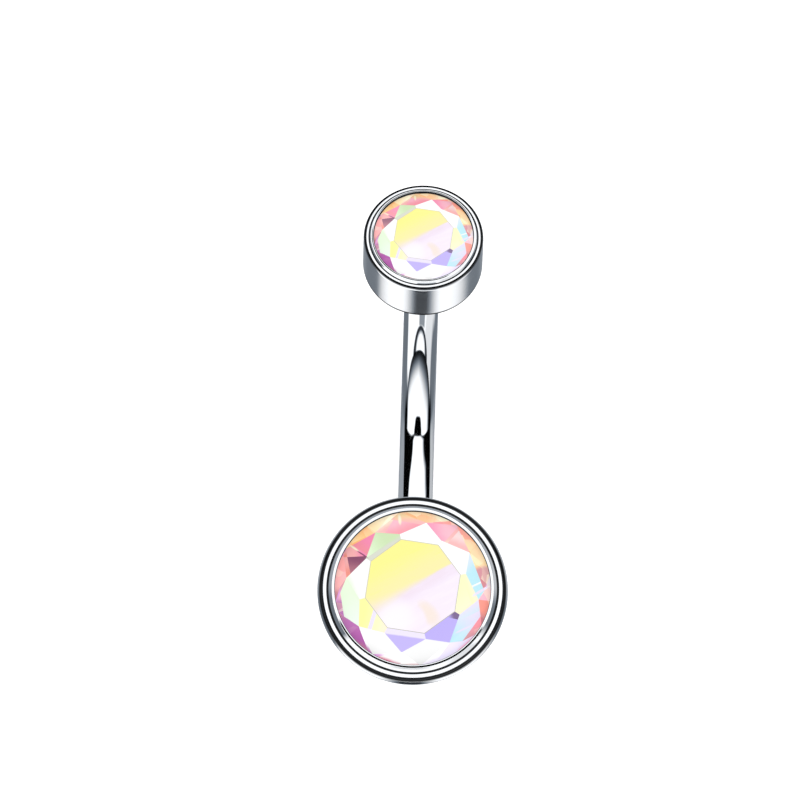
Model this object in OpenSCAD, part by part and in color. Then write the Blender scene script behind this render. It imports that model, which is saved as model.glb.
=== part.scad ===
// Navel ring: a curved bar with a bezel-set round stone at each end.
// The ring lies on its back. The origin is the centre of the lower setting's flat back, +Z is the
// way that its stone faces, and +Y runs along the bar to the top end.

/* [Bar] */
// Diameter of the bar's wire
bar_d = 1.45; // [1.3:0.05:1.7]
// Radius of the bend, at the middle of the wire
bend_r = 7.5; // [6.5:0.1:9]
// Angle that the bend turns through
bend_sweep = 90; // [84:1:96]
// How far the bend runs on inside the lower setting's wall
root_l = 1.2; // [1:0.1:1.6]
// Angle between the faces of the two stones
face_lean = 17; // [14:0.5:22]

/* [Lower setting] */
// Outer diameter of the rim
lower_d = 8; // [7.5:0.1:9.5]
// Height from the flat back to the rim's shoulder
lower_h = 3.4; // [3.2:0.1:4.2]
// Diameter of the flat back
lower_back_d = 5.6; // [5:0.1:6.4]
// Height of the straight band below the shoulder
lower_band = 0.8; // [0.6:0.1:1.2]
// Radius of the rim's rounded outer edge
lower_edge_r = 0.25; // [0.15:0.01:0.3]
// Radius of the bead round the stone
lower_bead_r = 0.22; // [0.16:0.01:0.25]
// Height of the bead's crest above the shoulder
lower_bead_rise = 0.3; // [0.2:0.02:0.4]

/* [Lower stone] */
// Diameter of the girdle
lower_stone_d = 6.8; // [6.2:0.1:7]
// Diameter of the table, across its corners
lower_table_d = 4.1; // [3.6:0.1:4.4]
// Diameter of the ring of star facet tips
lower_star_d = 5.6; // [5.2:0.1:5.8]
// Height of the table above the girdle
lower_crown_h = 0.75; // [0.6:0.05:1.2]
// Depth of the pavilion below the girdle
lower_pavilion_h = 2.1; // [1.6:0.1:2.3]

/* [Top setting] */
// Outer diameter of the rim
top_d = 5; // [4.8:0.1:6]
// Height from the back to the rim's shoulder
top_h = 2.25; // [2.1:0.05:3]
// Radius of the round on the back edge
top_back_r = 0.06; // [0.04:0.01:0.15]
// Radius of the rim's rounded outer edge
top_edge_r = 0.15; // [0.1:0.01:0.2]
// Radius of the bead round the stone
top_bead_r = 0.13; // [0.1:0.01:0.16]
// Height of the bead's crest above the shoulder
top_bead_rise = 0.15; // [0.1:0.01:0.2]
// Diameter of the hidden pin that goes into the bar
pin_d = 0.85; // [0.7:0.05:0.95]
// Length of the pin
pin_l = 1.2; // [0.9:0.05:1.25]

/* [Top stone] */
// Diameter of the girdle
top_stone_d = 4.3; // [4:0.05:4.35]
// Diameter of the table, across its corners
top_table_d = 2.55; // [2.2:0.05:2.7]
// Diameter of the ring of star facet tips
top_star_d = 3.48; // [3.2:0.02:3.6]
// Height of the table above the girdle
top_crown_h = 0.4; // [0.3:0.02:0.6]
// Depth of the pavilion below the girdle
top_pavilion_h = 1.05; // [0.8:0.05:1.2]

/* [Fits] */
// Turn of both stones' table corners from +X
stone_turn = 15.5; // [0:0.5:45]
// Height of a girdle's upright band, for each mm of its diameter
girdle_share = 0.018; // [0.012:0.002:0.024]
// Depth of a girdle's upper edge below its rim's shoulder
girdle_drop = 0.16; // [0.12:0.01:0.2]
// How far a lip closes over its stone's girdle
lip_hold = 0.11; // [0.06:0.01:0.14]
// Gap all round a stone in its setting
stone_gap = 0.03; // [0.02:0.005:0.05]
// Gap all round the pin in its bore, and at the pin's tip
pin_gap = 0.05; // [0.03:0.01:0.08]
// Gap between the bar's end and the top setting's back
seat_gap = 0.03; // [0.02:0.01:0.05]

/* [Hidden] */
$fn = 96;
cut_n = 8; // sides of a table, and of each stone's pattern
step = 360 / cut_n; // from one kite to the next
culet_share = 0.22; // reach of the pavilion mains' corners, of the girdle's radius
eps = 0.01; // overlap that keeps a cut or a joint clean

bar_r = bar_d / 2;
lower_r = lower_d / 2;
top_r = top_d / 2;

// The bar's middle line lies in the plane X = 0. It leaves the lower setting going down by dip,
// turns through bend_sweep and goes up into the top end, whose axis leans by face_lean.
dip = bend_sweep + face_lean - 90;
bar_start = [lower_r, bar_r + bend_r * (1 - cos(dip))];
bend_centre = bar_start + bend_r * [sin(dip), cos(dip)];
bar_end = bend_centre + bend_r * [cos(face_lean), -sin(face_lean)];
root_turn = root_l / bend_r * 180 / PI;

// Places its children where the top end starts, with +Z along the top end's axis
module at_top(rise = 0) {
    translate([0, bar_end[0], bar_end[1]]) rotate([-face_lean, 0, 0]) translate([0, 0, rise]) children();
}

// Half section of a bezel's rim above the height z = h, with its rounded edge, groove and bead
module rim_section(r, h, edge_r, bead_r, bead_rise, lip_r) {
    bead_x = lip_r + bead_r * 0.45;
    bead_z = h + bead_rise - bead_r;
    square([r, h - edge_r]);
    square([r - edge_r, h - edge_r / 3]);
    translate([r - edge_r, h - edge_r]) circle(edge_r);
    translate([bead_x, bead_z]) circle(bead_r);
    translate([lip_r - bead_r, h - edge_r]) square([bead_x + 2 * bead_r - lip_r, bead_z - h + edge_r]);
}

// Half section of the hollow that a stone sits in, with the lip's mouth above it
module seat_section(stone_r, table_r, girdle_z, girdle_h, crown_h, pavilion_h, lip_r, top_z) {
    slope = crown_h / (stone_r - table_r);
    belly = pavilion_h * culet_share * (1 - cos(step / 2)); // how far the pavilion stands out of a cone
    g = stone_gap;
    polygon([
        [0, girdle_z - girdle_h - pavilion_h - belly - 2 * g],
        [stone_r + g, girdle_z - girdle_h - g / 2],
        [stone_r + g, girdle_z + g / 2],
        [lip_r, girdle_z + g + (stone_r - lip_r) * slope + g],
        [lip_r, top_z],
        [0, top_z]
    ]);
}

// Round brilliant: +Z through the table, the girdle's upper edge at z = 0
module cut_stone(girdle_r, table_r, star_r, girdle_h, crown_h, pavilion_h) {
    half = step / 2;
    corner_r = culet_share * girdle_r;
    star_z = (girdle_r - star_r * cos(half)) * crown_h / (girdle_r - table_r);
    corner_z = -girdle_h - pavilion_h * (1 - corner_r * cos(half) / girdle_r);
    function at(r, a, z) = [r * cos(a + stone_turn), r * sin(a + stone_turn), z];
    rows = [
        [for (k = [0 : cut_n - 1]) at(table_r, k * step, crown_h)],
        [for (k = [0 : cut_n - 1]) at(star_r, (k + 0.5) * step, star_z)],
        [for (k = [0 : 2 * cut_n - 1]) at(girdle_r, k * half, 0)],
        [for (k = [0 : 2 * cut_n - 1]) at(girdle_r, k * half, -girdle_h)],
        [for (k = [0 : cut_n - 1]) at(corner_r, (k + 0.5) * step, corner_z)],
        [[0, 0, -girdle_h - pavilion_h]]
    ];
    points = [for (row = rows) each row];
    // First point of each row in the list of points
    table = 0;
    star = cut_n;
    upper = 2 * cut_n;
    lower = 4 * cut_n;
    corner = 6 * cut_n;
    culet = 7 * cut_n;
    function turn(k) = (k + cut_n) % cut_n;
    function ring(k) = (k + 2 * cut_n) % (2 * cut_n);
    faces = [
        [for (k = [cut_n - 1 : -1 : 0]) table + k],
        for (k = [0 : cut_n - 1]) each [
            [table + k, table + turn(k + 1), star + k],
            [table + k, star + k, upper + 2 * k, star + turn(k - 1)],
            [star + k, upper + ring(2 * k + 1), upper + 2 * k],
            [star + k, upper + ring(2 * k + 2), upper + ring(2 * k + 1)],
            [corner + k, lower + 2 * k, lower + ring(2 * k + 1)],
            [corner + k, lower + ring(2 * k + 1), lower + ring(2 * k + 2)],
            [culet, corner + turn(k - 1), lower + 2 * k, corner + k]
        ],
        for (j = [0 : 2 * cut_n - 1])
            [upper + j, upper + ring(j + 1), lower + ring(j + 1), lower + j]
    ];
    polyhedron(points, faces);
}

// Bar from inside the lower setting's wall to the top end, drawn round the centre of its bend
module bar() {
    rotate([90, 0, 90]) translate(bend_centre) rotate(-90 - dip - root_turn)
        rotate_extrude(angle = bend_sweep + root_turn) translate([bend_r, 0]) circle(bar_r);
}

module curved_bar() {
    band_z = lower_h - lower_band;
    inset = lower_r - lower_back_d / 2;
    side_r = (inset * inset + band_z * band_z) / (2 * inset);
    stone_r = lower_stone_d / 2;
    lip_r = stone_r - lip_hold;
    color("silver") difference() {
        union() {
            rotate_extrude() {
                intersection() {
                    translate([lower_r - side_r, band_z]) circle(side_r);
                    square([lower_r, band_z]);
                }
                square([lower_back_d / 2, band_z]);
                intersection() {
                    rim_section(lower_r, lower_h, lower_edge_r, lower_bead_r, lower_bead_rise, lip_r);
                    translate([0, band_z]) square([lower_r, lower_h]);
                }
            }
            bar();
        }
        rotate_extrude() seat_section(
            stone_r, lower_table_d / 2, lower_h - girdle_drop, girdle_share * lower_stone_d,
            lower_crown_h, lower_pavilion_h, lip_r, lower_h + lower_crown_h
        );
        at_top(seat_gap - pin_l - pin_gap) cylinder(h = pin_l + pin_gap, d = pin_d + 2 * pin_gap);
    }
}

module lower_stone() {
    color("lavender") translate([0, 0, lower_h - girdle_drop]) cut_stone(
        lower_stone_d / 2, lower_table_d / 2, lower_star_d / 2,
        girdle_share * lower_stone_d, lower_crown_h, lower_pavilion_h
    );
}

module top_setting() {
    stone_r = top_stone_d / 2;
    lip_r = stone_r - lip_hold;
    color("silver") at_top(seat_gap) {
        difference() {
            rotate_extrude() difference() {
                rim_section(top_r, top_h, top_edge_r, top_bead_r, top_bead_rise, lip_r);
                translate([top_r - top_back_r, 0]) difference() {
                    square([top_back_r + eps, top_back_r]);
                    translate([0, top_back_r]) circle(top_back_r);
                }
            }
            rotate_extrude() seat_section(
                stone_r, top_table_d / 2, top_h - girdle_drop, girdle_share * top_stone_d,
                top_crown_h, top_pavilion_h, lip_r, top_h + top_crown_h
            );
        }
        translate([0, 0, -pin_l]) cylinder(h = pin_l + eps, d = pin_d);
    }
}

module top_stone() {
    color("lavender") at_top(seat_gap + top_h - girdle_drop) cut_stone(
        top_stone_d / 2, top_table_d / 2, top_star_d / 2,
        girdle_share * top_stone_d, top_crown_h, top_pavilion_h
    );
}

curved_bar();
lower_stone();
top_setting();
top_stone();
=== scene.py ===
from math import atan2, cos, degrees, pi, radians, sin

import bmesh
import bpy
from mathutils import Matrix, Vector


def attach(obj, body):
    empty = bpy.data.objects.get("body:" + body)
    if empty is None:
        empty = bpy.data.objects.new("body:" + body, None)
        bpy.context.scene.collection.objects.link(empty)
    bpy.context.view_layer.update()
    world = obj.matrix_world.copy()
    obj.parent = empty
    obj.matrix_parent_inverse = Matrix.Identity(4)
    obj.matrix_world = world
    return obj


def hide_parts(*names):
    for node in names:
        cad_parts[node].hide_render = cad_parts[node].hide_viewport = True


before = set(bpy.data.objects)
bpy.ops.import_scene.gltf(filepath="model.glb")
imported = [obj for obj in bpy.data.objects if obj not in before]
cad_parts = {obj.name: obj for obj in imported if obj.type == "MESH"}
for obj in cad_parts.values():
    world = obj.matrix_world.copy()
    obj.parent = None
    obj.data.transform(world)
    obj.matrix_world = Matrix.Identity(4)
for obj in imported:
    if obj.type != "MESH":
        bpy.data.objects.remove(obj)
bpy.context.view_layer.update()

mm = 0.001
scene = bpy.context.scene


class Wire:
    # one output socket, with arithmetic, so that node maths reads as an expression
    def __init__(self, sheet, socket):
        self.sheet = sheet
        self.socket = socket

    def math(self, operation, *others):
        return self.sheet.add("ShaderNodeMath", {"operation": operation}, (self, *others))

    def after(self, operation, other):  # the same, with the other value first
        return self.sheet.add("ShaderNodeMath", {"operation": operation}, (other, self))

    def __add__(self, other):
        return self.math("ADD", other)

    def __radd__(self, other):
        return self.after("ADD", other)

    def __sub__(self, other):
        return self.math("SUBTRACT", other)

    def __rsub__(self, other):
        return self.after("SUBTRACT", other)

    def __mul__(self, other):
        return self.math("MULTIPLY", other)

    def __rmul__(self, other):
        return self.after("MULTIPLY", other)

    def __truediv__(self, other):
        return self.math("DIVIDE", other)

    def __pow__(self, other):
        return self.math("POWER", other)

    def __neg__(self):
        return self.math("MULTIPLY", -1.0)

    def __abs__(self):
        return self.math("ABSOLUTE")

    def most(self, other):
        return self.math("MAXIMUM", other)

    def least(self, other):
        return self.math("MINIMUM", other)

    def out(self, name):  # another output of the same node
        return Wire(self.sheet, self.socket.node.outputs[name])

    def rise(self, start, end):  # 0 below start, 1 above end, smooth between
        return self.sheet.add("ShaderNodeMapRange", {"interpolation_type": "SMOOTHSTEP"},
                              {"Value": self, "From Min": start, "From Max": end})

    def fall(self, start, end):
        return 1 - self.rise(start, end)

    def edge(self, soft):  # from 0 to 1 over this width, half way where the value is 0
        return (self / soft + 0.5).rise(0, 1)

    def among(self, first, last):  # 1 where a whole number lies from first to last, else 0
        return self.math("GREATER_THAN", first - 0.5) * self.math("LESS_THAN", last + 0.5)


class Sheet:
    # a node tree, to which nodes are added by type, settings and socket values
    def __init__(self, tree):
        self.tree = tree
        tree.nodes.clear()

    def add(self, kind, settings=None, values=None, output=0):
        node = self.tree.nodes.new(kind)
        for name, value in (settings or {}).items():
            setattr(node, name, value)
        pairs = values.items() if isinstance(values, dict) else enumerate(values or ())
        for key, value in pairs:
            if isinstance(value, Wire):
                self.tree.links.new(value.socket, node.inputs[key])
            else:
                node.inputs[key].default_value = value
        return Wire(self, node.outputs[output]) if len(node.outputs) else node

    def mix(self, factor, first, second, blend="MIX"):
        return self.add("ShaderNodeMix", {"data_type": "RGBA", "blend_type": blend},
                        {0: factor, 6: first, 7: second}, output=2)

    def noise(self, place, scale, detail, rough):
        return self.add("ShaderNodeTexNoise", {"noise_dimensions": "3D"},
                        {"Vector": place, "Scale": scale, "Detail": detail, "Roughness": rough})


def linear(red, green, blue):  # a colour as seen on screen, 0 to 255, in the renderer's own scale
    def one(v):
        v /= 255
        return v / 12.92 if v <= 0.04045 else ((v + 0.055) / 1.055) ** 2.4
    return (one(red), one(green), one(blue), 1.0)


def grey(level):
    return (level, level, level, 1)


# Camera: the view of the photograph, from above and a little in front
shot = {
    "distance": 400 * mm,  # from the lower rim's centre
    "tilt": 10.8,  # from straight down, towards the lower end
    "roll": 1.75,  # the top end leans to the right
    "scale": 23.9,  # pixels for each mm at the lower rim
    "rimPixel": (412.7, 588.7),  # where the lower rim's centre shows
    "frame": 800,  # width of the picture in pixels
    "sensor": 36,
    "clip": (0.01, 10),
}

# Sizes in mm and angles in degrees, as the solids have them
bar = {
    "wire": 1.45, "bend": 7.5, "sweep": 90,
    "root": 1.2,  # how far the bend runs on inside the lower cup's wall
    "lean": 17,  # between the two stones' faces
    "rings": 220, "sides": 72,
    "solderReach": 0.5, "solderFlare": 0.06,  # the wire's extra radius at its root, as a share
    "clear": 0.1,  # the bar has no painted shade from here on, past the lower rim
}
lower = {
    "radius": 4.0, "height": 3.4, "steps": 256,  # steps of the turned form, all round
    "back": 2.8, "backEdge": 0.08, "backRound": (0.3, 0.1),  # shares of the edge at its middle point
    "band": 0.8,  # height of the upright band below the rim's shoulder
    "bowlSteps": 40, "bowlTrim": (2, 0.5),  # degrees left off at the bowl's foot and top
    "stone": 3.4, "lift": 0.04,  # girdle's radius, and the rise of its upper edge
    "table": 2.05, "star": 2.8, "crown": 0.75, "pavilion": 2.1,
}
top = {
    "radius": 2.5, "height": 2.25, "steps": 224,
    "backEdge": 0.06, "backSteps": 6,
    "shadeLine": 0.08,  # height of the painted shade line over the back edge
    "satin": (0.1, 0.24), "satinFade": 0.04,  # clear of the back edge and of the shoulder
    "pin": 0.425, "pinLength": 1.2, "pinChamfer": 0.06, "pinFoot": 0.02,
    "stone": 2.15, "lift": 0.08, "table": 1.275, "star": 1.74, "crown": 0.4, "pavilion": 1.05,
}
fit = {
    "turn": 15.5,  # of both stones' table corners from +X
    "girdle": 0.018,  # height of the girdle, of its diameter
    "belly": 0.017,  # how far a pavilion stands out of a cone, of its depth
    "drop": 0.16, "gap": 0.03, "pinGap": 0.05, "seatGap": 0.03,
}
meshing = {
    "weld": 0.0002, "speck": 0.0001,  # mm
    "crease": 32,  # degrees, past which a corner stays crisp
    "cornerSteps": 5, "cornerLead": 1.3,  # points of a softened corner, and its run on to the flats
    "boreSides": 64,
    "digits": 6, "cutReach": 0.0005, "leastSpan": 0.001,  # for the stones' facets
}

wireRadius = bar["wire"] / 2
dip = bar["sweep"] + bar["lean"] - 90
bendCentre = (lower["radius"] + bar["bend"] * sin(radians(dip)), wireRadius + bar["bend"])
barEnd = (bendCentre[0] + bar["bend"] * cos(radians(bar["lean"])),
          bendCentre[1] - bar["bend"] * sin(radians(bar["lean"])))
toTop = (Matrix.Translation((0, barEnd[0] * mm, barEnd[1] * mm))
         @ Matrix.Rotation(radians(-bar["lean"]), 4, "X"))


def upBy(height):  # a move along Z, in mm
    return Matrix.Translation((0, 0, height * mm))


def aimCamera():
    tilt, roll = radians(shot["tilt"]), radians(shot["roll"])
    ahead = Vector((0, sin(tilt), -cos(tilt)))
    upright = Vector((0, cos(tilt), sin(tilt)))
    side = Vector((1, 0, 0))
    up = upright * cos(roll) - side * sin(roll)
    right = side * cos(roll) + upright * sin(roll)
    half = shot["frame"] / 2
    across = (shot["rimPixel"][0] - half) / shot["scale"] * mm
    along = (half - shot["rimPixel"][1]) / shot["scale"] * mm
    rim = Vector((0, 0, lower["height"] * mm))
    data = bpy.data.cameras.new("camera")
    data.sensor_width = shot["sensor"]
    data.lens = shot["scale"] * shot["distance"] / mm * shot["sensor"] / shot["frame"]
    data.clip_start, data.clip_end = shot["clip"]
    camera = bpy.data.objects.new("camera", data)
    scene.collection.objects.link(camera)
    place = rim - ahead * shot["distance"] - right * across - up * along
    camera.matrix_world = Matrix.Translation(place) @ Matrix((right, up, -ahead)).transposed().to_4x4()
    scene.camera = camera


aimCamera()
print("camera aimed")


def arc(centre, radius, start, end, steps):  # points of a section, angles from outwards to up
    turns = [radians(start + (end - start) * k / steps) for k in range(steps + 1)]
    return [(centre[0] + radius * cos(a), centre[1] + radius * sin(a), 0.0) for a in turns]


def softened(line):  # rounds each corner of a section by its own reach, and keeps the flats flat
    steps, lead = meshing["cornerSteps"], meshing["cornerLead"]
    done = []
    for k, (r, z, dark, reach) in enumerate(line):
        if reach == 0 or k in (0, len(line) - 1):
            done.append((r, z, dark))
            continue
        here, before, after = Vector((r, z)), Vector(line[k - 1][:2]), Vector(line[k + 1][:2])
        back, on = (before - here).normalized() * reach, (after - here).normalized() * reach
        done.append((*(here + back * lead), dark))
        for step in range(steps + 1):
            share = step / steps
            done.append((*(here + back * (1 - share) ** 2 + on * share ** 2), dark))
        done.append((*(here + on * lead), dark))
    return done


def rimSection(s):  # from the outer wall over the rim and down to the middle of the stone's seat
    high, lip = s["height"], s["rim"][-1][0]
    rim = softened([(r, high + z, dark, reach) for r, z, dark, reach in s["rim"]])
    girdleZ, girdleH = high - fit["drop"], fit["girdle"] * 2 * s["stone"]
    slope = s["crown"] / (s["stone"] - s["table"])
    gap, wide = fit["gap"], s["stone"] + fit["gap"]
    # the seat under the stone is painted dark all over, a painted shade
    seat = [
        (lip, girdleZ + s["lift"] + 2 * gap + (s["stone"] - lip) * slope, 1.0),
        (wide, girdleZ + s["lift"] + gap / 2, 1.0),
        (wide, girdleZ - girdleH - gap / 2, 1.0),
        (0, girdleZ - girdleH - s["pavilion"] * (1 + fit["belly"]) - 2 * gap, 1.0),
    ]
    return [*rim, *seat]


def startTree(name, geometry, floats=(), counts=()):  # a geometry tree with named inputs
    tree = bpy.data.node_groups.new(name, "GeometryNodeTree")
    wanted = [(geometry, "Geometry"), *((n, "Float") for n in floats), *((n, "Int") for n in counts),
              ("Finish", "Material")]
    for label, kind in wanted:
        tree.interface.new_socket(label, in_out="INPUT", socket_type="NodeSocket" + kind)
    tree.interface.new_socket("Form", in_out="OUTPUT", socket_type="NodeSocketGeometry")
    sheet = Sheet(tree)
    return sheet, sheet.add("NodeGroupInput").out


def endTree(sheet, form, given):  # smooth shading, real geometry and the material
    smooth = sheet.add("GeometryNodeSetShadeSmooth", None, {"Geometry": form})
    real = sheet.add("GeometryNodeRealizeInstances", None, [smooth])
    painted = sheet.add("GeometryNodeSetMaterial", None, {"Geometry": real, "Material": given("Finish")})
    sheet.add("NodeGroupOutput", None, {"Form": painted})
    return sheet.tree


def turnedTree():  # turns the object's own points, taken in order, round the Z axis
    sheet, given = startTree("turned form", "Section", counts=["Turn Steps"])
    section, steps = given("Section"), given("Turn Steps")
    count = sheet.add("GeometryNodeAttributeDomainSize", {"component": "MESH"}, {"Geometry": section})
    rows = steps + 1
    grid = sheet.add("GeometryNodeMeshGrid", None, {"Vertices X": count, "Vertices Y": rows})
    index = sheet.add("GeometryNodeInputIndex")
    column = ((index + 0.5) / rows).math("FLOOR")
    angle = (index - column * rows) / steps * (2 * pi)

    def sample(kind, value):  # a value of the section's point that this point comes from
        return sheet.add("GeometryNodeSampleIndex", {"data_type": kind},
                         {"Geometry": section, "Value": value, "Index": column})
    parts = sheet.add("ShaderNodeSeparateXYZ", None,
                      [sample("FLOAT_VECTOR", sheet.add("GeometryNodeInputPosition"))])
    reach = parts.out("X")
    spot = sheet.add("ShaderNodeCombineXYZ", None,
                     [reach * angle.math("COSINE"), reach * angle.math("SINE"), parts.out("Z")])
    moved = sheet.add("GeometryNodeSetPosition", None, {"Geometry": grid, "Position": spot})
    # each point takes the painted shade value of its section point
    dark = sheet.add("GeometryNodeInputNamedAttribute", {"data_type": "FLOAT"}, {"Name": "shadeAndSatin"})
    kept = sheet.add("GeometryNodeStoreNamedAttribute", {"data_type": "FLOAT", "domain": "POINT"},
                     {"Geometry": moved, "Name": "shadeAndSatin", "Value": sample("FLOAT", dark)})
    closed = sheet.add("GeometryNodeMergeByDistance", None,
                       {"Geometry": kept, "Distance": meshing["weld"] * mm})
    return endTree(sheet, closed, given)


def wireTree():  # sweeps a round wire along an arc, wider where it is soldered
    sizes = ["Wire Radius", "Bend Radius", "Start Angle", "Sweep Angle", "Solder Reach", "Solder Flare"]
    sheet, given = startTree("bent wire", "Base", sizes, ["Rings", "Sides"])
    path = sheet.add("GeometryNodeCurveArc", {"mode": "RADIUS"}, {
        "Resolution": given("Rings"), "Radius": given("Bend Radius"),
        "Start Angle": given("Start Angle"), "Sweep Angle": given("Sweep Angle")})
    ring = sheet.add("GeometryNodeCurvePrimitiveCircle", None,
                     {"Resolution": given("Sides"), "Radius": given("Wire Radius")})
    along = sheet.add("GeometryNodeSplineParameter").out("Length")
    near = (1 - along / given("Solder Reach")).most(0)
    swell = 1 + given("Solder Flare") * near * near
    tube = sheet.add("GeometryNodeCurveToMesh", None,
                     {"Curve": path, "Profile Curve": ring, "Scale": swell, "Fill Caps": True})
    return endTree(sheet, tube, given)


def addPiece(name, mesh):
    piece = bpy.data.objects.new(name, mesh)
    scene.collection.objects.link(piece)
    return piece


def settle(name, source):  # an object with its modifiers turned into plain mesh
    ready = source.evaluated_get(bpy.context.evaluated_depsgraph_get())
    made = bpy.data.meshes.new_from_object(ready)
    made.name = name
    bpy.data.objects.remove(source)
    return addPiece(name, made)


def grow(name, tree, mesh, inputs):  # runs a geometry tree on a mesh and keeps the result as a plain mesh
    source = addPiece(name + " source", mesh)
    modifier = source.modifiers.new("form", "NODES")
    modifier.node_group = tree
    sockets = {item.name: item.identifier for item in tree.interface.items_tree if item.in_out == "INPUT"}
    for key, value in inputs.items():
        modifier[sockets[key]] = value
    return settle(name, source)


def tidyShell(piece):  # outward faces, and crisp corners where the form has them
    shell = bmesh.new()
    shell.from_mesh(piece.data)
    bmesh.ops.dissolve_degenerate(shell, dist=meshing["speck"] * mm, edges=shell.edges)
    bmesh.ops.recalc_face_normals(shell, faces=shell.faces)
    shell.to_mesh(piece.data)
    shell.free()
    piece.data.set_sharp_from_angle(angle=radians(meshing["crease"]))


def turned(name, section, steps, material):
    mesh = bpy.data.meshes.new(name + " section")
    mesh.from_pydata([(r * mm, 0, z * mm) for r, z, dark in section], [], [])
    # the painted shade value of each section point
    darks = [dark for r, z, dark in section]
    mesh.attributes.new("shadeAndSatin", "FLOAT", "POINT").data.foreach_set("value", darks)
    piece = grow(name, turnedTree(), mesh, {"Turn Steps": steps, "Finish": material})
    tidyShell(piece)
    return piece


def carve(target, tool, operation):  # joins a tool to the target or cuts it out, and drops the tool
    change = target.modifiers.new("carve", "BOOLEAN")
    change.operation, change.solver, change.object = operation, "EXACT", tool
    name = target.name
    target.name = name + " before"
    done = settle(name, target)
    bpy.data.objects.remove(tool)
    return done


def roundTool(name, radius, height):
    tool = bmesh.new()
    bmesh.ops.create_cone(tool, cap_ends=True, segments=meshing["boreSides"], radius1=radius * mm,
                          radius2=radius * mm, depth=height * mm, matrix=upBy(height / 2))
    mesh = bpy.data.meshes.new(name)
    tool.to_mesh(mesh)
    tool.free()
    return addPiece(name, mesh)


def stands(piece, node):  # the piece rides on the only body, in the place of its CAD node
    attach(piece, "root")
    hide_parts(node)
    piece.visible_glossy = False  # the metal shows the studio alone


titaniumLook = {
    "pale": (226, 229, 233), "paler": (234, 236, 239),  # as on screen
    # near black: painted shade in the grooves, the stone's seat, the lip's inner wall and the back edge
    "groove": (10, 12, 15),
    "gloss": 0.035,  # roughness of the polished skin
    "haze": 0.035,  # added in clouds and hairlines
    "satin": 0.12,  # added on the top end's wall, where the painted-shade attribute is below 0
    "grooveGloss": 0.3,  # added where the shade is painted
    "shadeAndSatin": (0.2, 0.9),  # where the painted-shade attribute takes hold
    "cloud": (260, 3, 0.55), "fine": (5200, 2, 0.6),  # scale, detail and roughness of the noise
    "cloudTone": (0.35, 0.7), "cloudHaze": (0.4, 0.75), "fineHaze": (0.55, 0.8),
    "bump": 0.02, "bumpDepth": 0.01,
}


def polishedTitanium():
    look = titaniumLook
    material = bpy.data.materials.new("polishedTitanium")
    material.use_nodes = True
    sheet = Sheet(material.node_tree)
    place = sheet.add("ShaderNodeTexCoord").out("Object")
    shadeAndSatin = sheet.add("ShaderNodeAttribute", {"attribute_name": "shadeAndSatin"}).out("Fac")
    cloud = sheet.noise(place, *look["cloud"])
    fine = sheet.noise(place, *look["fine"])
    skin = sheet.mix(cloud.rise(*look["cloudTone"]), linear(*look["pale"]), linear(*look["paler"]))
    # painted shade where the attribute is above 0, and a satin roughness where it is below 0
    dark = shadeAndSatin.rise(*look["shadeAndSatin"])
    satin = (-shadeAndSatin).rise(*look["shadeAndSatin"])
    haze = cloud.rise(*look["cloudHaze"]) + fine.rise(*look["fineHaze"])
    gloss = look["gloss"] + haze * look["haze"] + dark * look["grooveGloss"] + satin * look["satin"]
    bump = sheet.add("ShaderNodeBump", None, {
        "Strength": look["bump"], "Distance": look["bumpDepth"] * mm, "Height": fine})
    shader = sheet.add("ShaderNodeBsdfPrincipled", None, {
        "Base Color": sheet.mix(dark, skin, linear(*look["groove"])),
        "Metallic": 1.0, "Roughness": gloss, "Normal": bump})
    sheet.add("ShaderNodeOutputMaterial", None, {"Surface": shader})
    return material


# Rims, from the wall over the outer line, the crest, the inner line and the lip to the stone:
# distance from the middle, height above the shoulder, dark (painted shade in the grooves, on the outer edge
# and the lip's inner wall; below 0, satin instead), and how far the corner is rounded, in mm
lower["rim"] = [
    (3.9, -0.9, 0, 0), (4.0, -0.47, 0, 0.05), (3.96, -0.33, 0.1, 0), (3.9, -0.13, 0.9, 0),
    (3.875, -0.095, 1, 0), (3.815, -0.2, 1, 0), (3.76, -0.09, 1, 0),
    (3.755, -0.08, 0, 0.004), (3.685, -0.0757, 0, 0.03), (3.622, -0.078, 0, 0),
    (3.617, -0.085, 1, 0), (3.57, -0.18, 1, 0), (3.524, -0.095, 1, 0),
    (3.519, -0.085, 0, 0), (3.408, 0.192, 0, 0.008), (3.396, 0.2095, 0, 0.006), (3.318, 0.224, 0, 0.002),
    (3.286, 0.2255, 0, 0), (3.282, 0.223, 1, 0), (3.264, 0.2, 1, 0),
]
top["rim"] = [
    (2.5, -0.18, -0.2, 0), (2.5, -0.12, 0, 0.02), (2.494, -0.07, 0.3, 0), (2.46, -0.014, 0.9, 0),
    (2.455, -0.018, 1, 0), (2.415, -0.08, 1, 0), (2.377, -0.012, 1, 0),
    (2.373, -0.007, 0, 0.002), (2.333, -0.002, 0, 0.01), (2.295, -0.003, 0, 0),
    (2.291, -0.008, 1, 0), (2.258, -0.08, 1, 0), (2.228, -0.02, 1, 0),
    (2.224, -0.014, 0, 0), (2.2, 0.1, 0, 0.008), (2.155, 0.113, 0, 0.004), (2.118, 0.1312, 0, 0.003),
    (2.106, 0.134, 0, 0), (2.1, 0.133, 1, 0), (2.072, 0.123, 1, 0), (2.065, 0.06, 1, 0),
]
titanium = polishedTitanium()


def lowerCupSection():
    s = lower
    waist, bandZ = s["rim"][0][0], s["height"] - s["band"]
    inset = waist - s["back"]
    side = (inset ** 2 + bandZ ** 2) / (2 * inset)  # the bowl's arc, from the flat back to the upright band
    first = -degrees(atan2(bandZ, s["back"] - (waist - side)))
    bowl = arc((waist - side, bandZ), side, first + s["bowlTrim"][0], -s["bowlTrim"][1], s["bowlSteps"])
    inward, upward = s["backRound"]
    foot = [(0, 0, 0.0), (s["back"] - s["backEdge"], 0, 0.0),
            (s["back"] - s["backEdge"] * inward, s["backEdge"] * upward, 0.0)]
    return [*foot, *bowl, *rimSection(s)]


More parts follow.
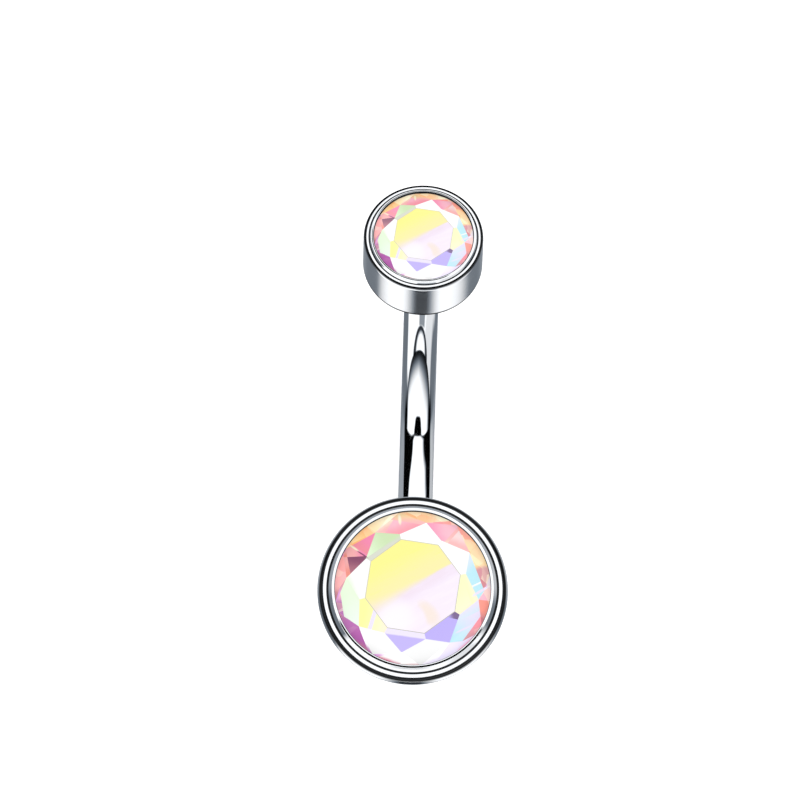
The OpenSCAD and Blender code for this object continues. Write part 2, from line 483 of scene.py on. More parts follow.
def buildBar():
    cup = turned("cup", lowerCupSection(), lower["steps"], titanium)
    rootTurn = bar["root"] / bar["bend"]
    wire = grow("wire", wireTree(), bpy.data.meshes.new("wire base"), {
        "Wire Radius": wireRadius * mm, "Bend Radius": bar["bend"] * mm,
        "Start Angle": -pi / 2 - radians(dip) - rootTurn, "Sweep Angle": radians(bar["sweep"]) + rootTurn,
        "Solder Reach": (bar["root"] + bar["solderReach"]) * mm, "Solder Flare": bar["solderFlare"],
        "Rings": bar["rings"], "Sides": bar["sides"], "Finish": titanium})
    # the arc's own X and Y become the ring's Y and Z
    upright = Matrix(((0, 0, 1, 0), (1, 0, 0, bendCentre[0] * mm),
                      (0, 1, 0, bendCentre[1] * mm), (0, 0, 0, 1)))
    wire.data.transform(upright)
    tidyShell(wire)
    depth = top["pinLength"] + fit["pinGap"]
    bore = roundTool("bore", top["pin"] + fit["pinGap"], depth)
    bore.data.transform(toTop @ upBy(fit["seatGap"] - depth))
    wire = carve(wire, bore, "DIFFERENCE")
    piece = carve(cup, wire, "UNION")
    tidyShell(piece)
    piece.name = "barWithCup"
    for vertex, dark in zip(piece.data.vertices, piece.data.attributes["shadeAndSatin"].data):
        if vertex.co.y > (lower["radius"] + bar["clear"]) * mm:
            dark.value = 0.0  # the bar itself gets no painted shade
    stands(piece, "curved_bar")
    return piece


def buildTopSetting():
    s = top
    radius, edge, chamfer, foot = s["radius"], s["backEdge"], s["pinChamfer"], s["pinFoot"]
    pin = [(0, -s["pinLength"], 0.0), (s["pin"] - chamfer, -s["pinLength"], 0.0),
           (s["pin"], chamfer - s["pinLength"], 0.0), (s["pin"], -foot, 0.0), (s["pin"] + foot, 0, 0.0)]
    # the back edge and the line over it are painted dark, a painted shade; the wall above is satin
    back = [(r, z, 1.0) for r, z, dark in arc((radius - edge, edge), edge, -90, 0, s["backSteps"])]
    satinEnd = s["height"] - s["satin"][1]
    wall = [(radius, edge + s["shadeLine"], 0.9), (radius, edge + s["satin"][0], -1.0),
            (radius, satinEnd, -1.0), (radius, satinEnd + s["satinFade"], -0.2)]
    piece = turned("topCup", [*pin, *back, *wall, *rimSection(s)], s["steps"], titanium)
    piece.data.transform(toTop @ upBy(fit["seatGap"]))
    stands(piece, "top_setting")
    return piece


barPiece = buildBar()
print("bar and lower cup made:", len(barPiece.data.polygons), "faces")
topPiece = buildTopSetting()
print("top cup made:", len(topPiece.data.polygons), "faces")


# Stones: the colours are as seen on screen, the coating's colours together with painted reflections and
# light seen through the crystal, and each facet blends one into another across its face
palette = {
    "white": (255, 255, 255), "cream": (255, 244, 212), "lemon": (252, 248, 158),
    "paleLemon": (250, 255, 196), "apricot": (255, 216, 156), "orange": (255, 188, 122),
    "coral": (250, 156, 142), "salmon": (255, 184, 184), "rose": (250, 152, 168),
    "pink": (255, 190, 206), "hotPink": (253, 148, 186), "dustyRose": (208, 142, 152),
    "crimson": (222, 92, 136), "maroon": (146, 88, 116), "plum": (178, 100, 170),
    "orchid": (218, 148, 216), "violet": (194, 180, 252), "lilac": (238, 230, 255),
    "ice": (190, 238, 250), "sky": (222, 236, 252), "mint": (232, 255, 220), "sage": (204, 228, 178),
    "shade": (128, 104, 150), "line": (196, 194, 178), "palePink": (252, 222, 222),
    "paleMint": (238, 250, 240), "haze": (216, 218, 204),
}
# For each facet: near colour, far colour, way from near to far, where the blend lies, how soft it is.
# Ways are angles in the photograph, and the lists run anticlockwise from the facet at the right.
# plain white; on the stars and kites that have it, a painted glint
plainTint = ("white", "white", 0, 0.5, 1.0)
starTints = [
    plainTint, plainTint, ("sage", "mint", 215, 0.75, 0.9), ("white", "mint", 200, 0.9, 0.4),
    ("paleLemon", "lemon", 165, 0.5, 0.6), ("lilac", "violet", 262, 0.27, 0.08),
    ("violet", "violet", 305, 0.5, 0.5), ("paleLemon", "cream", 300, 0.7, 0.9),
]
kiteTints = [
    ("sky", "ice", 320, 0.25, 0.3), ("hotPink", "pink", 20, 0.3, 0.7), ("rose", "pink", 110, 0.35, 0.7),
    ("hotPink", "salmon", 195, 0.55, 0.25), ("mint", "paleMint", 280, 0.75, 0.6), plainTint, plainTint,
    ("lilac", "ice", 235, 0.6, 0.8),
]
edgeTints = [  # four for each star's tip: clockwise next to the kite, at the rim, at the rim, anticlockwise
    ("apricot", "dustyRose", 285, 0.4, 0.15), ("orange", "apricot", 330, 0.4, 0.5),
    ("orange", "coral", 110, 0.35, 0.3), ("orange", "coral", 110, 0.3, 0.3),
    ("rose", "coral", 60, 0.5, 0.5), ("orange", "cream", 350, 0.3, 0.5),
    ("apricot", "orange", 0, 0.5, 0.6), ("apricot", "cream", 150, 0.6, 0.6),
    ("salmon", "cream", 60, 0.35, 0.4), ("cream", "apricot", 200, 0.5, 0.7),
    ("orange", "apricot", 210, 0.4, 0.5), ("orange", "cream", 150, 0.8, 0.3),
    ("salmon", "pink", 90, 0.6, 0.5), ("salmon", "orchid", 75, 0.72, 0.12),
    ("salmon", "dustyRose", 265, 0.45, 0.3), ("dustyRose", "orchid", 270, 0.4, 0.4),
    ("orchid", "plum", 300, 0.5, 0.7), ("dustyRose", "plum", 290, 0.35, 0.5),
    ("plum", "dustyRose", 240, 0.7, 0.4), ("white", "plum", 225, 0.58, 0.35),
    ("white", "orchid", 245, 0.58, 0.35), ("white", "crimson", 250, 0.72, 0.3),
    ("white", "dustyRose", 275, 0.75, 0.3), ("white", "violet", 275, 0.62, 0.35),
    ("white", "lilac", 290, 0.6, 0.35), ("lilac", "hotPink", 302, 0.85, 0.25),
    ("lilac", "hotPink", 312, 0.72, 0.3), ("pink", "dustyRose", 325, 0.55, 0.5),
    ("coral", "maroon", 250, 0.7, 0.2), ("dustyRose", "coral", 70, 0.45, 0.3),
    ("pink", "violet", 60, 0.5, 0.25), ("lilac", "dustyRose", 80, 0.4, 0.2),
]
# Painted views of another facet through the crystal: facet, its number, a point of the edge across it in
# girdle radii, the way of the part beyond that edge, then that part's colours, blend and softness
shards = [
    ("kite", 3, -0.68, 0.385, 268, "maroon", "dustyRose", 250, 0.6, 0.9),
    ("kite", 3, -0.79, 0.3, 190, "salmon", "coral", 270, 0.5, 0.7),
    ("kite", 3, -0.6, 0.43, 51, "hotPink", "rose", 230, 0.7, 0.5),
    ("kite", 3, -0.83, 0.47, 160, "orchid", "salmon", 270, 0.4, 0.4),
    ("kite", 2, -0.28, 0.78, 150, "salmon", "cream", 120, 0.6, 0.8),
    ("kite", 2, -0.17, 0.84, 78, "salmon", "apricot", 90, 0.5, 0.8),
    ("kite", 1, 0.47, 0.66, 322, "salmon", "cream", 285, 0.5, 0.5),
    ("kite", 1, 0.505, 0.64, 322, "palePink", "salmon", 250, 0.6, 0.6),
    ("kite", 0, 0.77, 0.04, 300, "white", "ice", 300, 0.1, 0.1),
    ("kite", 7, 0.68, -0.36, 118, "lilac", "sky", 300, 0.5, 0.9),
    ("kite", 4, -0.78, -0.05, 222, "mint", "paleMint", 290, 0.6, 0.9),
    ("star", 6, 0.51, -0.4, 78, "shade", "violet", 200, 0.7, 0.6),
    ("star", 2, -0.4, 0.475, 305, "haze", "sage", 120, 0.8, 0.8),
    ("star", 4, -0.49, -0.32, 342, "lilac", "cream", 340, 0.35, 0.3),
    ("star", 4, -0.44, -0.33, 342, "paleLemon", "cream", 340, 0.5, 0.6),
    ("star", 7, 0.66, -0.03, 20, "cream", "paleLemon", 200, 0.5, 0.8),
]
endTints = [("pink", "plum", 280, 0.35, 0.5), ("rose", "dustyRose", 230, 0.5, 0.6)]
cut = {
    "sides": 8,
    "kiteReach": 0.07,  # from a table corner out to its kite, of the girdle's radius
    "tipTurns": [18, 19.5, 20, 23, 22.5, 21.5, 19.5, 20.5],  # a star's tip from its first table corner
    # outer corners of each kite: turn from its middle, and distance, of the girdle's radius
    "kiteEnds": [[(-16, 0.88)], [(-3, 0.962)], [(-4, 0.97)], [(2, 0.985)], [(-14, 0.9), (9, 0.915)],
                 [(0, 0.955)], [(-8, 0.96)], [(-16, 0.9), (9, 0.905)]],
    "bevel": 0.004,  # of the table's edges, of the girdle's radius
    "culet": 0.22,  # reach of the pavilion mains' corners, of the girdle's radius
    "imageTurn": 1.75,  # from an angle in the photograph to the object's own
}
facetKinds = {"table": 0, "star": 1, "kite": 2, "edge": 3, "line": 4, "girdle": 5, "under": 6}


def tone(name):
    return linear(*palette[name])


def stonePoints(s):  # rows of points, the girdle's upper edge at z = 0, in mm
    sides, step = cut["sides"], 2 * pi / cut["sides"]
    inward = cos(step / 2)
    girdle, table, star, crown, lift = s["stone"], s["table"], s["star"], s["crown"], s["lift"]
    kite = table + cut["kiteReach"] * girdle
    # the stars' slope puts a kite's inner corner, the star tips and the girdle on one flat facet
    run, drop = (kite - table) * inward, star - table * inward
    near, far = star * inward - kite, girdle - star * inward
    rise = crown - lift
    slope = rise / far / ((drop - run) / near + drop / far)
    kiteSlope = (rise - slope * drop) / far
    girdleH = fit["girdle"] * 2 * girdle
    corner = cut["culet"] * girdle
    cornerZ = -girdleH - s["pavilion"] * (1 - corner * inward / girdle)
    first = radians(fit["turn"])

    def at(radius, turn, height):
        return Vector((radius * cos(first + turn), radius * sin(first + turn), height))

    def starTip(k):
        turn = radians(cut["tipTurns"][k])
        return at(star, k * step + turn, crown - slope * (star * cos(turn - step / 2) - table * inward))

    def kiteEnd(k, turn, share):
        turn = radians(turn)
        return at(share * girdle, k * step + turn, lift + kiteSlope * girdle * (1 - share * cos(turn)))
    return {
        "table": [at(table, k * step, crown) for k in range(sides)],
        "kite": [at(kite, k * step, crown - slope * run) for k in range(sides)],
        "star": [starTip(k) for k in range(sides)],
        "ends": [[kiteEnd(k, *end) for end in cut["kiteEnds"][k]] for k in range(sides)],
        "upper": [at(girdle, j * step / 2, lift) for j in range(2 * sides)],
        "lower": [at(girdle, j * step / 2, -girdleH) for j in range(2 * sides)],
        "corner": [at(corner, (k + 0.5) * step, cornerZ) for k in range(sides)],
        "culet": Vector((0, 0, -girdleH - s["pavilion"])),
    }


def stoneFaces(p):  # every facet, as (kind, tint, corners)
    n = cut["sides"]
    faces, spare = [("table", plainTint, p["table"])], iter(endTints)
    low, high, ends = p["lower"], p["upper"], p["ends"]
    for k in range(n):
        after, before = (k + 1) % n, (k - 1) % n
        tip, first, middle, last = p["star"][k], high[2 * k], high[2 * k + 1], high[2 * after]
        faces.append(("star", starTints[k],
                      [p["table"][k], p["kite"][k], tip, p["kite"][after], p["table"][after]]))
        faces.append(("kite", kiteTints[k], [p["kite"][k], p["star"][before], *ends[k], tip]))
        around = [[tip, ends[k][-1], first], [tip, first, middle], [tip, middle, last],
                  [tip, last, ends[after][0]]]
        faces += [("edge", edgeTints[4 * k + j], corners) for j, corners in enumerate(around)]
        if len(ends[k]) > 1:
            faces.append(("edge", next(spare), [ends[k][0], first, ends[k][1]]))
        faces.append(("under", plainTint, [p["corner"][k], low[2 * k + 1], low[2 * k]]))
        faces.append(("under", plainTint, [p["corner"][k], low[2 * after], low[2 * k + 1]]))
        faces.append(("under", plainTint, [p["culet"], p["corner"][k], low[2 * k], p["corner"][before]]))
    for j in range(2 * n):
        after = (j + 1) % (2 * n)
        faces.append(("girdle", plainTint, [high[j], low[j], low[after], high[after]]))
    return faces


def cutStone(name, s, place, material):
    shell = bmesh.new()
    layers = shell.faces.layers
    kindLayer, softLayer = layers.float.new("facetKind"), layers.float.new("facetSoft")
    nearLayer, farLayer = layers.float_color.new("facetNear"), layers.float_color.new("facetFar")
    blendLayer = layers.float_vector.new("facetBlend")  # x, y: way over the stone, z: start
    made = {}

    def vertexAt(place):
        key = tuple(round(v, meshing["digits"]) for v in place)
        if key not in made:
            made[key] = shell.verts.new(place)
        return made[key]

    def paint(face, kind, near, far, way, where, soft):
        way = radians(way + cut["imageTurn"])
        along = [(cos(way) * v.co.x + sin(way) * v.co.y) / s["stone"] for v in face.verts]
        span = max(max(along) - min(along), meshing["leastSpan"])  # an upright facet has none
        face[kindLayer] = facetKinds[kind]
        face[nearLayer], face[farLayer] = tone(near), tone(far)
        face[blendLayer] = (cos(way) / span, sin(way) / span, 0.5 - where - min(along) / span)
        face[softLayer] = soft

    facets = {}
    for kind, tint, corners in stoneFaces(stonePoints(s)):
        face = shell.faces.new([vertexAt(c) for c in corners])
        paint(face, kind, *tint)
        facets.setdefault(kind, []).append([face])
    for kind, k, x, y, way, *tint in shards:
        turn, way = radians(cut["imageTurn"]), radians(way + cut["imageTurn"])
        point = Matrix.Rotation(turn, 3, "Z") @ Vector((x, y, 0)) * s["stone"]
        beyond = Vector((cos(way), sin(way), 0))
        parts = facets[kind][k]
        geom = [*parts, *{e for f in parts for e in f.edges}, *{v for f in parts for v in f.verts}]
        done = bmesh.ops.bisect_plane(shell, geom=geom, plane_co=point, plane_no=beyond,
                                      dist=meshing["cutReach"])
        facets[kind][k] = [item for item in done["geom"] if isinstance(item, bmesh.types.BMFace)]
        for face in facets[kind][k]:
            if (face.calc_center_median() - point).dot(beyond) > 0:
                paint(face, kind, *tint)
    bmesh.ops.recalc_face_normals(shell, faces=shell.faces)
    wanted = facetKinds["table"]
    tableEdges = [e for e in shell.edges if min(face[kindLayer] for face in e.link_faces) == wanted]
    rounded = bmesh.ops.bevel(shell, geom=tableEdges, offset=cut["bevel"] * s["stone"], segments=1,
                              profile=0.5, affect="EDGES", clamp_overlap=True)
    for face in rounded["faces"]:
        face[kindLayer] = facetKinds["line"]
        face[nearLayer] = face[farLayer] = tone("line")
    mesh = bpy.data.meshes.new(name)
    shell.to_mesh(mesh)
    shell.free()
    spots = [v / s["stone"] for vertex in mesh.vertices for v in vertex.co]
    mesh.attributes.new("spot", "FLOAT_VECTOR", "POINT").data.foreach_set("vector", spots)
    mesh.materials.append(material)
    mesh.transform(place @ Matrix.Scale(mm, 4))
    return addPiece(name, mesh)


# Places and sizes on a stone are in girdle radii from its middle, and the ranges are where a mask turns on
crystalLook = {
    "glow": 0.62,  # share of the colour given off as emission, a painted light that keeps the facets bright where the lip shades them
    "body": 0.33,  # share that the light from outside brings out
    "rimGlow": 1.3,  # the facets at the rim give off more, painted light against the lip's shade
    "gloss": 0.05, "coat": 0.5, "coatGloss": 0.02, "index": 1.5,
    "ripple": (7, 4, 0.6), "rippleShare": (0.5, 0.25),  # the noise, and how far it bends a facet's blend
    "leastSoft": 0.02,
    # painted reflections seen in the stone: where, its half length and width, its way, its softness and
    # colour
    "marks": [
        (-0.16, 0.86, 0.07, 0.02, 95, 0.8, "cream"), (0.62, -0.52, 0.1, 0.012, 28, 0.8, "lilac"),
        (0.84, -0.04, 0.12, 0.016, 35, 0.6, "lilac"), (-0.72, 0.5, 0.07, 0.012, -40, 0.8, "cream"),
        (-0.62, 0.41, 0.08, 0.008, -38, 0.6, "maroon"),
    ],
    "markRipple": 0.6,
    # painted slivers of reflection near the rim: cells round it and outwards, a lean, then ranges and
    # strengths by colour channel
    "sliverRound": 5.5, "sliverOut": 4, "sliverLean": 2,
    "palePatches": [("Red", 0.62, 0.7, 0.4), ("Green", 0.7, 0.8, 0.2)],
    "deepPatches": ("Blue", 0.7, 0.78, 0.25),
    "sliverFade": (3, 1.9),  # they fade out towards the lower edge
}
tableLook = {
    "split": 30.0,  # way of the line across the table, degrees in the photograph
    "splitDrop": 0.01, "splitSoft": 0.035, "splitFan": (0.3, 0.26), "ripple": 0.03,
    "streak": (2.2, 3, 0.5), "streakPull": (1.2, 7),
    "lemon": [(250, 239, 168), (252, 245, 138)], "lemonReach": 1.6, "lemonDeep": (0.1, 0.75),
    "lemonStreak": (0.5, 0.75, 0.4),
    "lilac": [(240, 224, 240), (248, 238, 254)], "lilacDeep": (0.03, 0.2, 0.8),
    "lilacStreak": (0.45, 0.7, 0.3),
    "peach": (246, 228, 206), "peachMiddle": (0.2, -0.33), "peachSize": (0.22, 0.13),
    "peachWay": (0.64, 0.77),  # cosine and sine of its turn
    "peachFade": (0, 1.2), "peachRipple": 0.3, "peachShare": 0.7,
    "curlMiddle": (-0.04, -0.43), "curlReach": (0.17, 0.25), "curlRipple": 0.03,
    "milk": (252, 250, 255), "milkMiddle": (-0.2, -0.4), "milkReach": 0.09, "milkShare": 0.7,
}


def tableColour(sheet, x, y, ripple):  # lemon above a slanting line, lilac below, with soft clouds in it
    look = tableLook
    split = radians(look["split"] + cut["imageTurn"])
    upper = y * cos(split) - x * sin(split)
    along = x * cos(split) + y * sin(split)
    fanStart, fan = look["splitFan"]
    width = look["splitSoft"] + (fanStart - along).most(0) * fan
    yellow = (upper - look["splitDrop"] + ripple * look["ripple"]).edge(width)
    long, tight = look["streakPull"]
    pulled = sheet.add("ShaderNodeCombineXYZ", None, [along * long, upper * tight, 0.0])
    streak = sheet.noise(pulled, *look["streak"])
    start, end, share = look["lemonStreak"]
    deep = (upper * look["lemonReach"]).rise(*look["lemonDeep"]) + streak.rise(start, end) * share
    lemon = sheet.mix(deep.least(1), *(linear(*shade) for shade in look["lemon"]))
    start, end, share = look["lilacDeep"]
    deep = (-upper).rise(start, end) * share
    start, end, share = look["lilacStreak"]
    deep = (deep + streak.rise(start, end) * share).least(1)
    lilac = sheet.mix(deep, *(linear(*shade) for shade in look["lilac"]))

    def off(middle):  # the way from a middle, as two values
        return x - middle[0], y - middle[1]
    u, v = off(look["peachMiddle"])
    c, s = look["peachWay"]
    length, breadth = look["peachSize"]
    oval = ((u * c - v * s) / length) ** 2 + ((u * s + v * c) / breadth) ** 2 + ripple * look["peachRipple"]
    u, v = off(look["curlMiddle"])
    curl = ((u ** 2 + v ** 2) ** 0.5 + ripple * look["curlRipple"]).rise(*look["curlReach"])
    peach = oval.fall(*look["peachFade"]) * curl * look["peachShare"]
    lilac = sheet.mix(peach, lilac, linear(*look["peach"]))
    u, v = off(look["milkMiddle"])
    milk = (u ** 2 + v ** 2).fall(0.0, look["milkReach"]) * look["milkShare"]
    return sheet.mix(yellow, sheet.mix(milk, lilac, linear(*look["milk"])), lemon)


def coatedCrystal():
    look = crystalLook
    material = bpy.data.materials.new("coatedCrystal")
    material.use_nodes = True
    sheet = Sheet(material.node_tree)

    def held(name, output="Fac"):
        return sheet.add("ShaderNodeAttribute", {"attribute_name": name}).out(output)
    spot, kind, soft = held("spot", "Vector"), held("facetKind"), held("facetSoft")
    at = sheet.add("ShaderNodeSeparateXYZ", None, [spot])
    x, y = at.out("X"), at.out("Y")
    way = sheet.add("ShaderNodeSeparateXYZ", None, [held("facetBlend", "Vector")])
    onTable = kind.among(facetKinds["table"], facetKinds["table"])
    onCrown = kind.among(facetKinds["star"], facetKinds["edge"])
    atRim = kind.among(facetKinds["edge"], facetKinds["edge"])
    ripple = sheet.noise(spot, *look["ripple"]) - 0.5
    share, limit = look["rippleShare"]
    bent = x * way.out("X") + y * way.out("Y") + way.out("Z") - 0.5 + ripple * (soft * share).least(limit)
    blend = bent.edge(soft.most(look["leastSoft"]))
    facet = sheet.mix(blend, held("facetNear", "Color"), held("facetFar", "Color"))
    turn = radians(cut["imageTurn"])
    # painted reflections across the crown
    for u, v, long, wide, angle, fade, name in look["marks"]:
        u, v = u * cos(turn) - v * sin(turn), u * sin(turn) + v * cos(turn)
        angle = radians(angle) + turn
        along = ((x - u) * cos(angle) + (y - v) * sin(angle)) / long
        across = ((y - v) * cos(angle) - (x - u) * sin(angle)) / wide
        mark = (along * along + across * across + ripple * look["markRipple"]).fall(1 - fade, 1 + fade)
        facet = sheet.mix(mark * onCrown, facet, tone(name))
    # painted slivers of other facets seen through the stone near its rim
    polar = sheet.add("ShaderNodeCombineXYZ", None, [
        y.math("ARCTAN2", x) * look["sliverRound"],
        (x * x + y * y) * look["sliverOut"] + x * look["sliverLean"], 0.0])
    cells = sheet.add("ShaderNodeTexVoronoi", {"feature": "F1"}, {"Vector": polar, "Scale": 1.0})
    chance = sheet.add("ShaderNodeSeparateColor", None, [cells.out("Color")])

    def patches(channel, start, end, strength):
        return chance.out(channel).rise(start, end) * strength
    pale = patches(*look["palePatches"][0]) + patches(*look["palePatches"][1])
    steep, lift = look["sliverFade"]
    shown = atRim * (y * steep + lift).rise(0, 1)
    facet = sheet.mix(pale * shown, facet, tone("cream"))
    facet = sheet.mix(patches(*look["deepPatches"]) * shown, facet, tone("coral"), "MULTIPLY")

    colour = sheet.mix(onTable, facet, tableColour(sheet, x, y, ripple))
    body = sheet.mix(1.0, colour, grey(look["body"]), "MULTIPLY")
    # painted light: the emission of the rim's facets is made stronger
    brighter = sheet.mix(1.0, colour, grey(look["rimGlow"]), "MULTIPLY")
    # the emission is painted light, a share of the facet colours given off though the stone is no lamp
    shader = sheet.add("ShaderNodeBsdfPrincipled", None, {
        "Base Color": body, "Roughness": look["gloss"], "IOR": look["index"],
        "Coat Weight": look["coat"], "Coat Roughness": look["coatGloss"],
        "Emission Color": sheet.mix(atRim, colour, brighter), "Emission Strength": look["glow"]})
    sheet.add("ShaderNodeOutputMaterial", None, {"Surface": shader})
    return material


def buildStones():
    crystal = coatedCrystal()
    big = cutStone("lowerStone", lower, upBy(lower["height"] - fit["drop"]), crystal)
    small = cutStone("topStone", top, toTop @ upBy(fit["seatGap"] + top["height"] - fit["drop"]), crystal)
    stands(big, "lower_stone")
    stands(small, "top_stone")
    print("stones cut:", len(big.data.polygons), "and", len(small.data.polygons), "facets and edges")


buildStones()


# Stage: a pale floor, and a soft studio round it. Angles are in degrees: climb runs from the front
# horizon (0) over the top (90) to the back (180), and aside runs out to the right (to 90) and left.
# A pair of angles is the range over which a light or a shadow fades in or out.
studio = {
    "shine": 1.35,  # strength of the white boxes as the metal shows them
    "daylight": 1.22,  # even light on everything that isn't glossy
    "floor": 0.9, "floorGlow": 0.42,  # the glow keeps the floor pale close to the ring
    "floorHalf": 2.0, "floorRough": 0.9,
    "dimTint": (0.84, 0.96, 1.1, 1), "dimRange": (0.05, 0.6),  # dim directions are a little blue
}
rearLight = {  # behind and overhead: a white box, narrow where it starts
    "start": (89.0, 90.0), "end": (164, 178),
    "opening": (88, 94), "widening": (94, 133),
    "right": (24, 20, 18), "left": (-16, -10, -15),  # where a side starts, and what the two stretches add
    "rightSoft": 16, "rightPast": 4, "leftSoft": 5,
}
frontLight = {  # in front and overhead: a white box that fades towards the horizon
    "end": 87.6, "endSoft": 1.2, "endPast": 0.7, "endRise": 2.6, "endRiseOut": (12, 45),
    "right": (60, 78), "left": (67, 77),
    "horizon": 27.2, "horizonBow": 0.0019,
    "bright": 45, "brightRight": 0.4, "brightLeft": 0.1, "brightMiddle": -3,
    "fade": (-0.15, 1.15), "fadeCurve": 1.8, "fadeLift": 0.6,
}
tongue = {  # a dark tongue in that box's far edge
    "end": 88.4, "length": 13.2, "middle": 2.5, "half": 20.5, "flare": 4, "flareClimb": (79, 88),
    "corner": 4, "soft": (0.8, 1.15),
}
window = {  # the dark line of a window's arch on the pale table: climb, middle, height, half width
    "arch": (27, 2.5, 20.7, 43), "pane": (27, 4, 15.5, 27),
    "outer": (0.9, 1.12), "inner": (0.6, 1.3), "depth": 0.97,
}
paleTable = {  # in front and low: the pale table that the ring lies on
    "top": 1.2, "climb": (-88, -56),
    "right": (71, 0.3, 15), "left": (74, 0.9, 13),  # aside, its change with climb, softness
    "leftClimb": 26,
    "shade": 0.28, "shadeAside": (22, 32), "shadeClimb": (-60, -54),
    "stripe": 0.72, "stripeClimb": (-13, -10, 5, 7), "stripeAside": (-9, 23), "stripeSoft": (3, 4),
}
shadow = {  # the ring's own shadow on it
    "half": 10.5, "spread": 0.32, "spreadClimb": -52, "soft": 14, "climb": (-40, -34),
}
underLight = {  # below and behind: a weak light from the table
    "level": 0.16, "more": 0.16, "moreClimb": (-108, -92),
    "right": 0.45, "rightAside": (20, 40), "rightClimb": (-104, -90),
    "sides": (76, 86), "climb": (10, 30),
    "dark": -165, "darkLean": 35, "darkAside": (-20, 30), "darkSoft": (-3, 3),
    "inShadow": 0.2, "outOfShadow": (-62, -52),
}


def buildFloor():
    size = studio["floorHalf"]
    mesh = bpy.data.meshes.new("floor")
    corners = [(-size, -size, 0), (size, -size, 0), (size, size, 0), (-size, size, 0)]
    mesh.from_pydata(corners, [], [(0, 1, 2, 3)])
    piece = addPiece("floor", mesh)
    piece.visible_glossy = False  # the metal shows the studio alone
    material = bpy.data.materials.new("paleFloor")
    material.use_nodes = True
    sheet = Sheet(material.node_tree)
    shader = sheet.add("ShaderNodeBsdfPrincipled", None, {
        "Base Color": grey(studio["floor"]), "Roughness": studio["floorRough"], "Specular IOR Level": 0.0,
        "Emission Color": grey(1), "Emission Strength": studio["floorGlow"]})
    sheet.add("ShaderNodeOutputMaterial", None, {"Surface": shader})
    mesh.materials.append(material)


def rearLevel(climb, aside):
    s = rearLight

    def side(start, opening, widening):
        return start + climb.rise(*s["opening"]) * opening + climb.rise(*s["widening"]) * widening
    right = ((side(*s["right"]) + s["rightPast"] - aside) / s["rightSoft"]).rise(0, 1)
    left = (aside - side(*s["left"])).edge(s["leftSoft"])
    return climb.rise(*s["start"]) * climb.fall(*s["end"]) * right * left


def frontLevel(climb, aside, out, horizon):
    s, t = frontLight, tongue
    half = t["half"] + climb.rise(*t["flareClimb"]) * t["flare"]
    reach = ((t["end"] - climb).most(0) / t["length"]) ** t["corner"]
    dark = (reach + (abs(aside - t["middle"]) / half) ** t["corner"]).fall(*t["soft"])
    end = s["end"] + out.rise(*s["endRiseOut"]) * s["endRise"]
    middle = s["brightMiddle"]
    bright = (s["bright"] + (aside - middle).most(0) * s["brightRight"]
              + (middle - aside).most(0) * s["brightLeft"])
    fade = ((climb - horizon - s["fadeLift"]) / (bright - horizon)).rise(*s["fade"]) ** s["fadeCurve"]
    near = (end + s["endPast"] - climb).rise(0, s["endSoft"])
    return fade * near * aside.fall(*s["right"]) * (-aside).fall(*s["left"]) * (1 - dark)


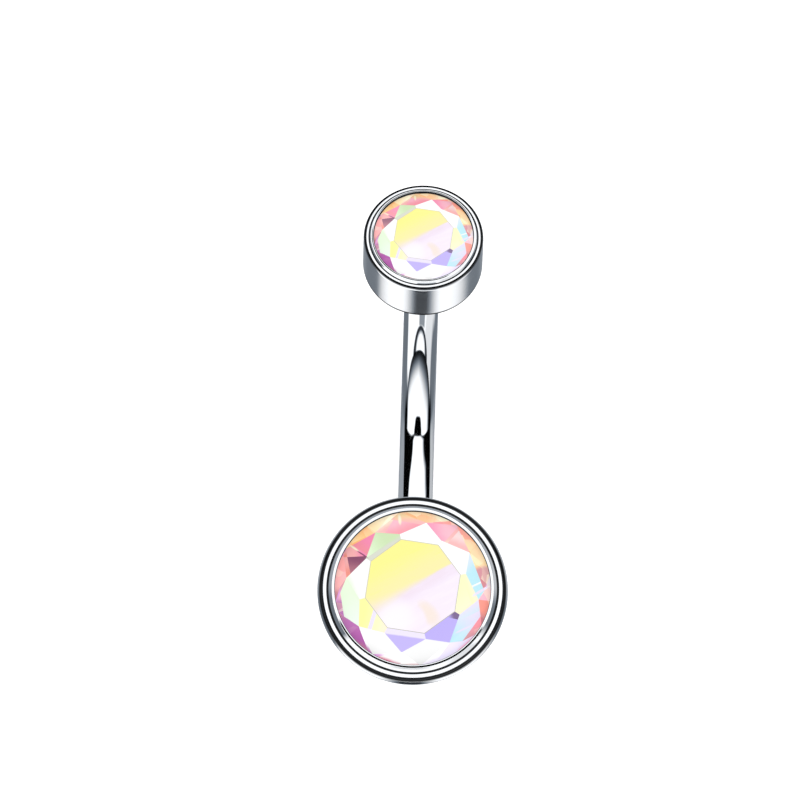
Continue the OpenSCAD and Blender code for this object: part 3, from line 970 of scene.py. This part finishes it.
def lowLevel(climb, aside, out, horizon):
    s = paleTable

    def oval(top, middle, height, half):
        return ((top - climb).most(0) / height) ** 2 + (abs(aside - middle) / half) ** 2
    windowLine = oval(*window["arch"]).fall(*window["outer"]) * oval(*window["pane"]).rise(*window["inner"])
    climbs, (left, right), (leftSoft, rightSoft) = s["stripeClimb"], s["stripeAside"], s["stripeSoft"]
    stripe = climb.rise(*climbs[:2]) * climb.fall(*climbs[2:])
    stripe = stripe * (aside - left).rise(0, leftSoft) * (right - aside).rise(0, rightSoft)
    shade = s["shade"] * aside.rise(*s["shadeAside"]) * climb.rise(*s["shadeClimb"])
    low = (horizon - climb).rise(0, s["top"]) * climb.rise(*s["climb"])
    low = low * (1 - shade) * (1 - s["stripe"] * stripe)
    start, lean, soft = s["right"]
    low = low * (start + climb * lean - aside).edge(soft)
    start, lean, soft = s["left"]
    low = low * (start + (climb + s["leftClimb"]).least(0) * lean + aside).edge(soft)

    d = shadow
    half = d["half"] + (d["spreadClimb"] - climb).most(0) * d["spread"]
    spot = (half - out).edge(d["soft"]) * climb.fall(*d["climb"])

    u = underLight
    backDark = (u["dark"] + u["darkLean"] * aside.rise(*u["darkAside"]) - climb).rise(*u["darkSoft"])
    toRight = aside.rise(*u["rightAside"]) * climb.fall(*u["rightClimb"]) * u["right"]
    under = (u["level"] + u["more"] * climb.fall(*u["moreClimb"])) * (1 + toRight)
    under = under * out.fall(*u["sides"]) * climb.fall(*u["climb"]) * (1 - backDark)
    dim = u["inShadow"] + (1 - u["inShadow"]) * climb.fall(*u["outOfShadow"])
    return (low * (1 - spot)).most(under * (1 - spot * (1 - dim))) * (1 - window["depth"] * windowLine)


def lightStudio():
    world = bpy.data.worlds.new("studio")
    scene.world = world
    world.use_nodes = True
    sheet = Sheet(world.node_tree)
    parts = sheet.add("ShaderNodeSeparateXYZ", None, [sheet.add("ShaderNodeTexCoord").out("Generated")])
    x, y, z = parts.out("X"), parts.out("Y"), parts.out("Z")
    climb = z.math("ARCTAN2", -y) * (180 / pi)
    aside = x.math("ARCSINE") * (180 / pi)
    out = abs(aside)
    horizon = frontLight["horizon"] - aside.least(0) ** 2 * frontLight["horizonBow"]
    level = (rearLevel(climb, aside) + frontLevel(climb, aside, out, horizon)
             + lowLevel(climb, aside, out, horizon))
    tint = sheet.mix(level.rise(*studio["dimRange"]), studio["dimTint"], grey(1))
    mirrored = sheet.add("ShaderNodeBackground", None, {"Color": tint, "Strength": level * studio["shine"]})
    even = sheet.add("ShaderNodeBackground", None, {"Color": grey(1), "Strength": studio["daylight"]})
    backdrop = sheet.add("ShaderNodeBackground", None, {"Color": grey(1), "Strength": 1.0})
    ray = sheet.add("ShaderNodeLightPath")
    light = sheet.add("ShaderNodeMixShader", None, [ray.out("Is Glossy Ray"), even, mirrored])
    both = sheet.add("ShaderNodeMixShader", None, [ray.out("Is Camera Ray"), light, backdrop])
    sheet.add("ShaderNodeOutputWorld", None, {"Surface": both})
    scene.view_settings.view_transform = "Standard"


buildFloor()
lightStudio()
print("stage lit")
